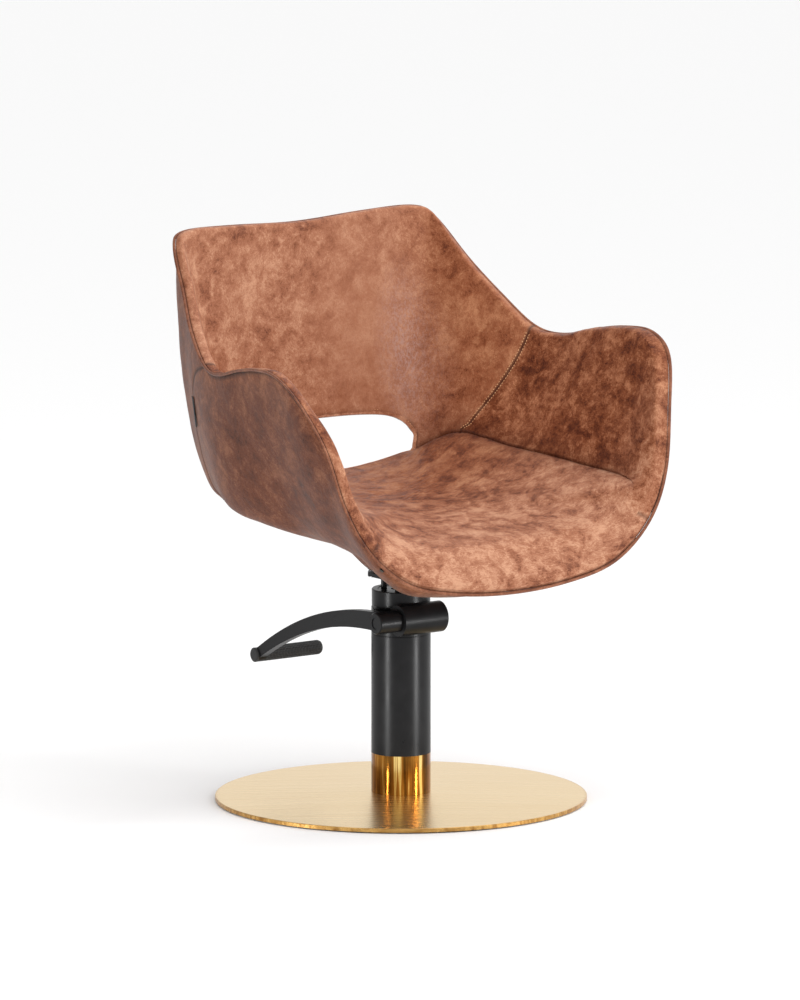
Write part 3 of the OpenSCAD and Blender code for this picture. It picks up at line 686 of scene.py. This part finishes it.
# ---------------------------------------------------------------- materials
class Nodes:
    """Short way to write a shader node graph."""

    def __init__(self, name):
        self.mat = bpy.data.materials.new(name)
        self.mat.use_nodes = True
        self.tree = self.mat.node_tree
        self.tree.nodes.clear()
        self.out = self.tree.nodes.new("ShaderNodeOutputMaterial")
        self.bsdf = self.tree.nodes.new("ShaderNodeBsdfPrincipled")
        self.tree.links.new(self.bsdf.outputs[0], self.out.inputs[0])
        self.coord = self.tree.nodes.new("ShaderNodeTexCoord").outputs["Object"]

    def put(self, socket, value):
        if isinstance(value, bpy.types.NodeSocket):
            self.tree.links.new(value, socket)
        elif isinstance(value, (tuple, list)) and len(value) == 3 and socket.type == "RGBA":
            socket.default_value = (*value, 1)
        else:
            socket.default_value = value

    def node(self, kind, inputs=None, out=0, **props):
        n = self.tree.nodes.new(kind)
        for k, v in props.items():
            setattr(n, k, v)
        for k, v in (inputs or {}).items():
            self.put(n.inputs[k], v)
        return n.outputs[out]

    def mapping(self, scale=(1, 1, 1), rotation=(0, 0, 0), location=(0, 0, 0), vector=None):
        return self.node("ShaderNodeMapping", {"Vector": vector or self.coord, "Scale": scale,
                                               "Rotation": rotation, "Location": location})

    def noise(self, scale, detail=4.0, rough=0.55, distortion=0.0, vector=None, out="Fac"):
        return self.node("ShaderNodeTexNoise",
                         {"Vector": vector or self.coord, "Scale": scale, "Detail": detail,
                          "Roughness": rough, "Distortion": distortion}, out=out)

    def math(self, op, a, b=0.5, c=0.0, clamp=False):
        n = self.tree.nodes.new("ShaderNodeMath")
        n.operation, n.use_clamp = op, clamp
        for i, v in enumerate((a, b, c)):
            self.put(n.inputs[i], v)
        return n.outputs[0]

    def remap(self, v, a, b, c=0.0, d=1.0):
        return self.node("ShaderNodeMapRange", {"Value": v, "From Min": a, "From Max": b,
                                                "To Min": c, "To Max": d}, clamp=True)

    def ramp(self, v, stops):
        n = self.tree.nodes.new("ShaderNodeValToRGB")
        self.put(n.inputs[0], v)
        e = n.color_ramp.elements
        e[0].position, e[0].color = stops[0][0], (*stops[0][1], 1)
        e[1].position, e[1].color = stops[-1][0], (*stops[-1][1], 1)
        for pos, c in stops[1:-1]:
            s = e.new(pos)
            s.color = (*c, 1)
        return n.outputs[0]

    def mix(self, fac, a, b, mode="MIX"):
        n = self.tree.nodes.new("ShaderNodeMix")
        n.data_type, n.blend_type, n.clamp_factor = "RGBA", mode, True
        self.put(n.inputs[0], fac)
        self.put(n.inputs[6], a)
        self.put(n.inputs[7], b)
        return n.outputs[2]

    def attribute(self, name):
        return self.node("ShaderNodeAttribute", out="Fac", attribute_name=name)

    def bump(self, height, strength, distance, normal=None):
        inputs = {"Height": height, "Strength": strength, "Distance": distance}
        if normal is not None:
            inputs["Normal"] = normal
        return self.node("ShaderNodeBump", inputs)

    def surface(self, **kw):
        for k, v in kw.items():
            self.put(self.bsdf.inputs[k.replace("_", " ")], v)
        return self.mat


def srgb(r, g, b):
    """Linear colour from 8-bit display values."""
    def f(x):
        x /= 255
        return x / 12.92 if x <= 0.04045 else ((x + 0.055) / 1.055) ** 2.4
    return (f(r), f(g), f(b))


TONE_MIDDLE, TONE_SPREAD = 0.525, 0.13


def leather(name, tones, wrinkle=(1, 1, 1), contrast=1.0, calm=None, shade_zone=None, lit_tones=None,
            rim_tones=None, shine=0.22, pull=0.24, use_fields=True, warm=(0.6, 0.53, 0.46)):
    """Distressed leather. wrinkle stretches the fibres, calm is the middle of a smooth
    rubbed patch, and the (axis, from, to, tint) argument paints shade: a darker zone along one axis.
    The tones that take over where the attribute "lit" rises to 1 paint light, and rim_tones take over at
    the rim.
    pull is how light the stretched fibres are, and warm is the share of mid in the darker
    patches, less in blue than in red."""
    dark, mid, light = tones
    m = Nodes(name)
    warp = m.noise(7, 3, 0.5, out="Color")
    vec = m.node("ShaderNodeVectorMath", {0: m.coord, 1: m.node(
        "ShaderNodeVectorMath", {0: warp, "Scale": 0.035}, operation="SCALE")}, operation="ADD")
    big = m.noise(9, 5, 0.55, 0.4, vec)
    patch = m.noise(36, 8, 0.62, 0.5, vec)
    cloud = m.noise(95, 6, 0.62, 0.7, vec)
    fibre = m.noise(230, 5, 0.7, 1.2, m.mapping(scale=wrinkle, vector=vec))
    total = 0.0
    for layer, share in ((big, 0.23), (patch, 0.36), (cloud, 0.18), (fibre, 0.25)):
        total = m.math("MULTIPLY_ADD", layer, share, total)
    spread = TONE_SPREAD / contrast
    tone = m.remap(total, TONE_MIDDLE - spread, TONE_MIDDLE + spread)
    pulls = m.math("ABSOLUTE", m.math("SUBTRACT", m.noise(
        58, 5, 0.6, 1.3, m.mapping(scale=wrinkle, vector=vec)), 0.5))
    hairs = m.math("ABSOLUTE", m.math("SUBTRACT", m.noise(
        150, 4, 0.6, 1.5, m.mapping(scale=wrinkle, vector=vec)), 0.5))
    pulls = m.math("MULTIPLY", m.remap(pulls, 0.0, 0.035, 1, 0), m.remap(patch, 0.42, 0.6, 0.15, 1))
    tone = m.math("MULTIPLY_ADD", pulls, pull, tone, clamp=True)
    tone = m.math("MULTIPLY_ADD", m.remap(hairs, 0.0, 0.04, 1, 0), 0.22, tone, clamp=True)
    if calm:
        near = m.node("ShaderNodeVectorMath", {0: m.mapping(
            scale=(1, 0.4, 0.5), location=tuple(-c * k for c, k in zip(calm, (1, 0.4, 0.5))))},
            operation="LENGTH", out="Value")
        soft = m.remap(near, 0.03, 0.13, 0.62, 0)
        tone = m.math("MULTIPLY_ADD", tone, m.math("SUBTRACT", 1.0, soft), m.math("MULTIPLY", soft, 0.62))
    def shades(dark, mid, light):
        low = tuple(d + (a - d) * k for d, a, k in zip(dark, mid, warm))
        return m.ramp(tone, [(0.0, dark), (0.26, low), (0.5, mid), (1.0, light)])

    colour = shades(*tones)
    # Painted light: lighter tones where the attribute "lit" rises.
    if lit_tones:
        colour = m.mix(m.attribute("lit"), colour, shades(*lit_tones))
    if rim_tones:
        colour = m.mix(m.math("MULTIPLY", m.attribute("rim"), 0.75), colour, shades(*rim_tones))
    speck = m.remap(m.noise(420, 3, 0.6, 0.5), 0.60, 0.74)
    colour = m.mix(m.math("MULTIPLY", speck, 0.22), colour, tuple(c * 0.55 for c in dark))
    rough = m.remap(tone, 0, 1, 0.43, 0.56)
    if calm:
        grit = m.remap(m.noise(260, 6, 0.7, 0.6, m.mapping(scale=(1, 1, 0.6))), 0.46, 0.6)
        spot = m.remap(m.node("ShaderNodeVectorMath", {0: m.mapping(
            scale=(1, 0.4, 0.4), location=(-WEAR_AND_SHEEN[0], -0.4 * WEAR_AND_SHEEN[1], -0.4 * WEAR_AND_SHEEN[2]))},
            operation="LENGTH", out="Value"), 0.01, 0.06, 1, 0)
        # Worn strip with a painted sheen: a lighter greyish colour down the back.
        colour = m.mix(m.math("MULTIPLY", spot, m.math("MULTIPLY_ADD", grit, 0.6, 0.12)),
                       colour, srgb(176, 140, 130))
    # Painted shade: the colour is multiplied by tint over a zone along one axis.
    if shade_zone:
        axis, start, end, tint = shade_zone
        place = m.node("ShaderNodeSeparateXYZ", {0: m.coord}, out=axis)
        colour = m.mix(m.remap(place, start, end), colour, m.mix(1.0, colour, tint, "MULTIPLY"))
    if use_fields:
        # Dark seam lines, plus painted shade under the rim, along the binding groove and in the crease
        # hollow.
        for field, share, tint in (("seam", 0.85, 0.3), ("hollow", 0.30, 0.7)):
            colour = m.mix(m.math("MULTIPLY", m.attribute(field), share), colour,
                           tuple(c * tint for c in dark))
    cells = m.node("ShaderNodeTexVoronoi", {"Vector": m.coord, "Scale": 620.0, "Randomness": 1.0},
                   out="Distance", feature="F1")
    grain = m.math("MULTIPLY_ADD", m.noise(240, 6, 0.65), 0.7, m.math("MULTIPLY", cells, 0.5))
    creases = m.noise(46, 7, 0.62, 1.1, m.mapping(scale=wrinkle, vector=vec))
    normal = m.bump(creases, 0.35, 0.0035)
    normal = m.bump(grain, 0.28, 0.0006, normal)
    return m.surface(Base_Color=colour, Roughness=rough, Normal=normal, Specular_IOR_Level=shine,
                     Sheen_Weight=0.06, Sheen_Roughness=0.5)


WEAR_AND_SHEEN = (0.172, 0.235, 0.64)  # middle of the worn strip down the back, whose sheen is painted as a lighter colour, in metres
# Dark, middle and light tone of each leather.
TAN = srgb(92, 43, 22), srgb(159, 102, 73), srgb(196, 145, 114)
DEEP_TAN = srgb(70, 24, 4), srgb(131, 73, 43), srgb(182, 122, 87)
OUTER = srgb(66, 36, 25), srgb(110, 63, 44), srgb(148, 99, 73)
CORD = srgb(74, 36, 22), srgb(124, 74, 50), srgb(162, 108, 80)
# Painted shade: the seat darkens towards its rear, under the back.
m_seat = leather("leather_seat", TAN, (0.6, 2.8, 2.2), 1.5, shade_zone=(1, -0.13, 0.03, (0.74, 0.62, 0.50)),
                 pull=0.34)
# Painted shade: the back darkens towards its side at high X, which faces away from the key.
m_back = leather("leather_back", TAN, (1.2, 1.2, 1.0), 1.05, calm=(0.1, 0.25, 0.66),
                 shade_zone=(0, 0.16, 0.24, (0.90, 0.78, 0.64)))
# Painted shade and light: the arms take the darker DEEP_TAN tones, and the lighter TAN tones where the
# front is lit.
m_arm = leather("leather_arm", DEEP_TAN, (1.2, 1.4, 1.2), 1.5, lit_tones=TAN, shine=0.16)
m_out = leather("leather_outer", OUTER, (1.2, 1.2, 1.2), 1.0, rim_tones=DEEP_TAN, shine=0.12,
                warm=(0.6, 0.6, 0.6))
m_pipe = leather("leather_piping", CORD, use_fields=False)
m_lining = leather("leather_lining", TAN, use_fields=False)


DISC_EDGE = 0.0078, 0.0081  # heights where the disc's edge ends and its brushed top begins


def brushed(name, base, dark, haze_tint):
    """Champagne gold plate with straight brushing, and a darker, uneven reflection painted on its upright
    edge.
    """
    m = Nodes(name)
    turned = m.mapping(rotation=(0, 0, math.radians(35)))
    lines = m.noise(1.0, 6, 0.7, 0.0, m.mapping(scale=(14, 2600, 900), vector=turned))
    broad = m.noise(1.0, 4, 0.6, 0.2, m.mapping(scale=(3.5, 260, 60), vector=turned))
    haze = m.noise(5, 5, 0.6, 0.4)
    tone = m.math("MULTIPLY_ADD", lines, 0.5, m.math("MULTIPLY", broad, 0.5))
    colour = m.mix(m.remap(tone, 0.2, 0.75), dark, base)
    colour = m.mix(m.math("MULTIPLY", m.remap(haze, 0.45, 0.7), 0.18), colour, haze_tint)
    height = m.node("ShaderNodeSeparateXYZ", {0: m.coord}, out=2)
    # Painted reflection: the upright edge takes a darker, browner gold.
    on_edge = m.remap(height, *DISC_EDGE, 1, 0)
    edge = m.mix(m.remap(broad, 0.35, 0.65), srgb(150, 106, 54), srgb(214, 170, 100))
    colour = m.mix(on_edge, colour, edge)
    rough = m.remap(tone, 0.3, 0.7, 0.32, 0.24)
    normal = m.bump(lines, 0.10, 0.0003)
    return m.surface(Base_Color=colour, Metallic=1.0, Roughness=rough, Normal=normal)


def mirror_gold(name):
    """Polished gold ring with upright dark and light streaks, which are painted reflections."""
    m = Nodes(name)
    smear = m.noise(22, 5, 0.6, 0.5)
    fine = m.noise(1.0, 4, 0.6, 0.0, m.mapping(scale=(900, 900, 40)))
    reflection_streak = m.noise(1.0, 3, 0.6, 0.0, m.mapping(scale=(85, 85, 4)))
    # Painted reflections: upright dark and light streaks in the colour.
    colour = m.ramp(reflection_streak, [(0.39, srgb(62, 36, 10)), (0.49, srgb(118, 72, 24)),
                             (0.57, srgb(160, 106, 42)), (0.66, srgb(250, 222, 142))])
    colour = m.mix(m.math("MULTIPLY", m.remap(smear, 0.35, 0.7), 0.2), colour, srgb(196, 142, 62))
    both = m.math("MULTIPLY_ADD", fine, 0.4, m.math("MULTIPLY", smear, 0.6))
    rough = m.remap(both, 0.3, 0.7, 0.07, 0.16)
    return m.surface(Base_Color=colour, Metallic=1.0, Roughness=rough,
                     Normal=m.bump(fine, 0.05, 0.0002))


def black_coat(name, base=(0.007, 0.007, 0.0075), rough=0.3, joint=None, shine=0.15):
    """Satin powder coat with a very fine orange peel, and a dark parting line at height joint."""
    m = Nodes(name)
    peel = m.noise(950, 3, 0.55)
    cloud = m.noise(30, 5, 0.6, 0.3)
    dust = m.remap(m.noise(260, 5, 0.7, 0.4), 0.6, 0.78)
    colour = m.mix(m.remap(cloud, 0.3, 0.7), base, tuple(c * 1.5 for c in base))
    colour = m.mix(m.math("MULTIPLY", dust, 0.12), colour, (0.05, 0.05, 0.05))
    if joint:
        height = m.node("ShaderNodeSeparateXYZ", {0: m.coord}, out=2)
        gap = m.remap(m.math("ABSOLUTE", m.math("SUBTRACT", height, joint)), 0.0004, 0.0011, 1, 0)
        peel = m.math("MULTIPLY_ADD", gap, -8.0, peel)
        colour = m.mix(gap, colour, (0.0, 0.0, 0.0))
    return m.surface(Base_Color=colour, Roughness=m.remap(cloud, 0.3, 0.7, rough - 0.04, rough + 0.06),
                     Normal=m.bump(peel, 0.12, 0.00025), Specular_IOR_Level=shine)


def steel(name, base=(0.56, 0.56, 0.57), rough=0.3, stretch=(700, 700, 30)):
    """Turned metal with fine tool marks."""
    m = Nodes(name)
    lathe = m.noise(1.0, 4, 0.6, 0.0, m.mapping(scale=stretch))
    tint = m.noise(18, 4, 0.6)
    colour = m.mix(m.remap(tint, 0.3, 0.7), base, tuple(c * 0.72 for c in base))
    rough = m.remap(lathe, 0.3, 0.7, rough - 0.07, rough + 0.1)
    return m.surface(Base_Color=colour, Metallic=1.0, Roughness=rough,
                     Normal=m.bump(lathe, 0.08, 0.0002))


KNURL_COUNT, KNURL_PITCH = 10.0, 0.0055


def rubber(name, base=(0.016, 0.016, 0.016), bar=None):
    """Dull rubber. bar is the centre of a bar along X that has a diamond knurl."""
    m = Nodes(name)
    grain = m.noise(600, 4, 0.7)
    worn = m.noise(24, 5, 0.6, 0.4)
    colour = m.mix(m.remap(worn, 0.35, 0.7), base, tuple(c * 2.0 for c in base))
    normal = None
    if bar:
        from_bar = m.mapping(location=tuple(-c for c in bar))
        x, y, z = (m.node("ShaderNodeSeparateXYZ", {0: from_bar}, out=k) for k in range(3))
        turn = m.math("MULTIPLY", m.math("ARCTAN2", z, y), KNURL_COUNT)
        along = m.math("MULTIPLY", x, 2 * math.pi / KNURL_PITCH)
        diamond = m.math("MULTIPLY", m.math("SINE", m.math("ADD", along, turn)),
                         m.math("SINE", m.math("SUBTRACT", along, turn)))
        # Painted shade: the knurl's grooves are darker.
        colour = m.mix(m.remap(diamond, -0.4, 0.6), tuple(c * 0.3 for c in base), colour)
        normal = m.bump(m.remap(diamond, -0.5, 0.6), 1.0, 0.0012)
    return m.surface(Base_Color=colour, Roughness=m.remap(grain, 0.3, 0.7, 0.55, 0.72),
                     Normal=m.bump(grain, 0.25, 0.0004, normal))


def thread_mat():
    """Light twisted sewing thread."""
    m = Nodes("thread")
    twist = m.node("ShaderNodeTexWave", {"Vector": m.coord, "Scale": 900.0, "Distortion": 3.0},
                   out="Fac", bands_direction="DIAGONAL")
    tint = m.noise(80, 3, 0.6)
    colour = m.mix(m.remap(tint, 0.3, 0.7), srgb(206, 146, 98), srgb(236, 188, 140))
    return m.surface(Base_Color=colour, Roughness=m.remap(twist, 0, 1, 0.55, 0.75),
                     Normal=m.bump(twist, 0.4, 0.0003))


def fabric_tab():
    """Plain black woven label."""
    m = Nodes("label_weave")
    warp = m.node("ShaderNodeTexWave", {"Vector": m.coord, "Scale": 700.0, "Distortion": 0.4},
                  out="Fac", bands_direction="Z")
    weft = m.node("ShaderNodeTexWave", {"Vector": m.coord, "Scale": 700.0, "Distortion": 0.4},
                  out="Fac", bands_direction="Y")
    both = m.math("MULTIPLY", warp, weft)
    colour = m.mix(both, (0.006, 0.006, 0.007), (0.03, 0.03, 0.032))
    return m.surface(Base_Color=colour, Roughness=m.remap(both, 0, 1, 0.6, 0.8),
                     Normal=m.bump(both, 0.4, 0.0003))


M = {
    "base_cover": brushed("brushed_gold", srgb(242, 216, 164), srgb(226, 192, 134), srgb(232, 202, 152)),
    "column_ring": mirror_gold("polished_gold"),
    "black": black_coat("satin_black"),
    "column": black_coat("satin_black_column", joint=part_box("column_tube")[1][2], shine=0.12),
    "knurl": rubber("knurled_rubber", bar=tuple((a + b) / 2 for a, b in zip(*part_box("foot_sleeve")))),
    "steel": steel("turned_steel"),
    "stud": steel("dull_steel", (0.10, 0.095, 0.09), 0.4),
    "bronze": steel("bronze", (0.42, 0.27, 0.11), 0.38),
    "rubber": rubber("rubber"),
    "primer": black_coat("dark_primer", (0.04, 0.04, 0.042), 0.6),
    "tab": fabric_tab(),
    "thread": thread_mat(),
}


def paint(obj, mat):
    obj.data.materials.clear()
    obj.data.materials.append(mat)


node_mat = {
    "base_cover": "base_cover", "column_ring": "column_ring", "edge_studs": "stud",
    "base_plate": "primer", "shell_core": "primer", "label_tab": "tab",
    "floor_ring": "rubber", "wiper_seal": "rubber", "piston_seal": "rubber",
    "foot_bar_cap": "rubber", "foot_sleeve": "knurl",
    "column_tube": "column", "pump_head": "column",
    "guide_bush": "bronze", "shaft_bushes": "bronze",
}
black_nodes = ("head_cap", "housing_plug", "top_flange", "flange_bolts",
               "flange_spacers", "seat_plate", "pedal_hub", "pedal_lever")
for n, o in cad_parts.items():
    paint(o, M[node_mat.get(n, "black" if n in black_nodes else "steel")])

# Each piece of the bucket: its material and its slot.
for obj, mat, slot in ((seat, m_seat, "leather"), (back, m_back, "leather"),
                       (arm_l, m_arm, "leather"), (arm_r, m_arm, "leather"),
                       (shell_side, m_out, "leather_outer"), (shell_back, m_out, "leather_outer"),
                       (piping, m_pipe, "piping_leather"), (lining, m_lining, "leather"),
                       (thread, M["thread"], "piping_leather")):
    paint(obj, mat)
    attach(obj, "seat")

paint(spring, M["steel"])
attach(spring, "base")
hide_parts("plunger_spring")
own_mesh(spring)

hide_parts("seat_pad")
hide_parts("back_pad", "edge_roll")
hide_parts("arm_pad_left")
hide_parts("arm_pad_right")
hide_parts("outer_cover")
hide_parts("piping")


# ---------------------------------------------------------------- studio
AZ, EL = math.radians(-35), math.radians(9.93)
FLOOR_HALF = 9.0
WORLD_LEFT, WORLD_RIGHT = 0.45, 1.5
KEY_W, TOP_W, STRIP_W = 24, 18, 0.32
STRIP_OUT, STRIP_H, STRIP_SIZE, STRIP_SPREAD = 0.95, 0.12, (0.08, 0.22), math.radians(34)
STRIP_TURNS = {"strip_left": -52, "strip_right": 60}
DISTANCE, FRAME_H, SENSOR = 40.0, 1502.63 * MM, 36
AIM_RIGHT, AIM_Z = -1.5 * MM, 458.1 * MM

back_way = Vector((math.sin(AZ) * math.cos(EL), -math.cos(AZ) * math.cos(EL), math.sin(EL)))
right_way = Vector((math.cos(AZ), math.sin(AZ), 0))
toward = Vector((math.sin(AZ), -math.cos(AZ), 0))
scene = bpy.context.scene


def studio_floor():
    mesh = bpy.data.meshes.new("studio_floor")
    corners = [(x * FLOOR_HALF, y * FLOOR_HALF, 0) for x, y in ((-1, -1), (1, -1), (1, 1), (-1, 1))]
    mesh.from_pydata(corners, [], [(0, 1, 2, 3)])
    floor = bpy.data.objects.new("studio_floor", mesh)
    scene.collection.objects.link(floor)
    white = Nodes("studio_white")
    paint(floor, white.surface(Base_Color=(0.97, 0.97, 0.97), Roughness=0.7, Specular_IOR_Level=0.1))


def studio_world():
    """White light all round, weaker from the left than from the right."""
    world = bpy.data.worlds.new("studio_world")
    scene.world = world
    world.use_nodes = True
    nodes, links = world.node_tree.nodes, world.node_tree.links
    background = nodes["Background"]
    background.inputs[0].default_value = (1, 1, 1, 1)
    across = nodes.new("ShaderNodeVectorMath")
    across.operation = "DOT_PRODUCT"
    across.inputs[1].default_value = right_way
    gradient = nodes.new("ShaderNodeMapRange")
    for socket, value in (("From Min", -1), ("From Max", 1),
                          ("To Min", WORLD_LEFT), ("To Max", WORLD_RIGHT)):
        gradient.inputs[socket].default_value = value
    links.new(nodes.new("ShaderNodeTexCoord").outputs["Generated"], across.inputs[0])
    links.new(across.outputs["Value"], gradient.inputs["Value"])
    links.new(gradient.outputs[0], background.inputs[1])


def softbox(name, place, aim, size, power):
    light = bpy.data.lights.new(name, "AREA")
    light.shape = "RECTANGLE"
    light.size, light.size_y = size
    light.energy = power
    obj = bpy.data.objects.new(name, light)
    obj.location = place
    obj.rotation_mode = "QUATERNION"
    obj.rotation_quaternion = (Vector(aim) - Vector(place)).to_track_quat("-Z", "Y")
    scene.collection.objects.link(obj)
    return obj


def studio_lights():
    """A key from the front right, a top light, and two strips for the column's bright bands."""
    middle = Vector((0, 0, 0.45))
    key_place = middle + toward * 1.5 + right_way * 1.7 + Vector((0, 0, 1.8))
    softbox("key", key_place, middle, (1.6, 1.6), KEY_W)
    softbox("top", middle + Vector((0, 0, 2.4)), middle, (2.2, 2.2), TOP_W)
    strip_aim = Vector((0, 0, STRIP_H))
    for name, degrees in STRIP_TURNS.items():
        turn = math.radians(degrees)
        way_out = toward * math.cos(turn) + right_way * math.sin(turn)
        strip = softbox(name, way_out * STRIP_OUT + strip_aim, strip_aim, STRIP_SIZE, STRIP_W)
        strip.data.spread = STRIP_SPREAD
        strip.visible_camera = False


def photo_camera():
    """The photo's view: from far away, with a long lens."""
    data = bpy.data.cameras.new("camera")
    data.sensor_width = SENSOR
    data.lens = SENSOR * DISTANCE / FRAME_H
    data.clip_start, data.clip_end = 1, 200
    camera = bpy.data.objects.new("camera", data)
    camera.location = Vector((0, 0, AIM_Z)) + right_way * AIM_RIGHT + back_way * DISTANCE
    camera.rotation_mode = "QUATERNION"
    camera.rotation_quaternion = (-back_way).to_track_quat("-Z", "Y")
    scene.collection.objects.link(camera)
    scene.camera = camera


studio_floor()
studio_world()
studio_lights()
photo_camera()
scene.view_settings.view_transform = "Standard"
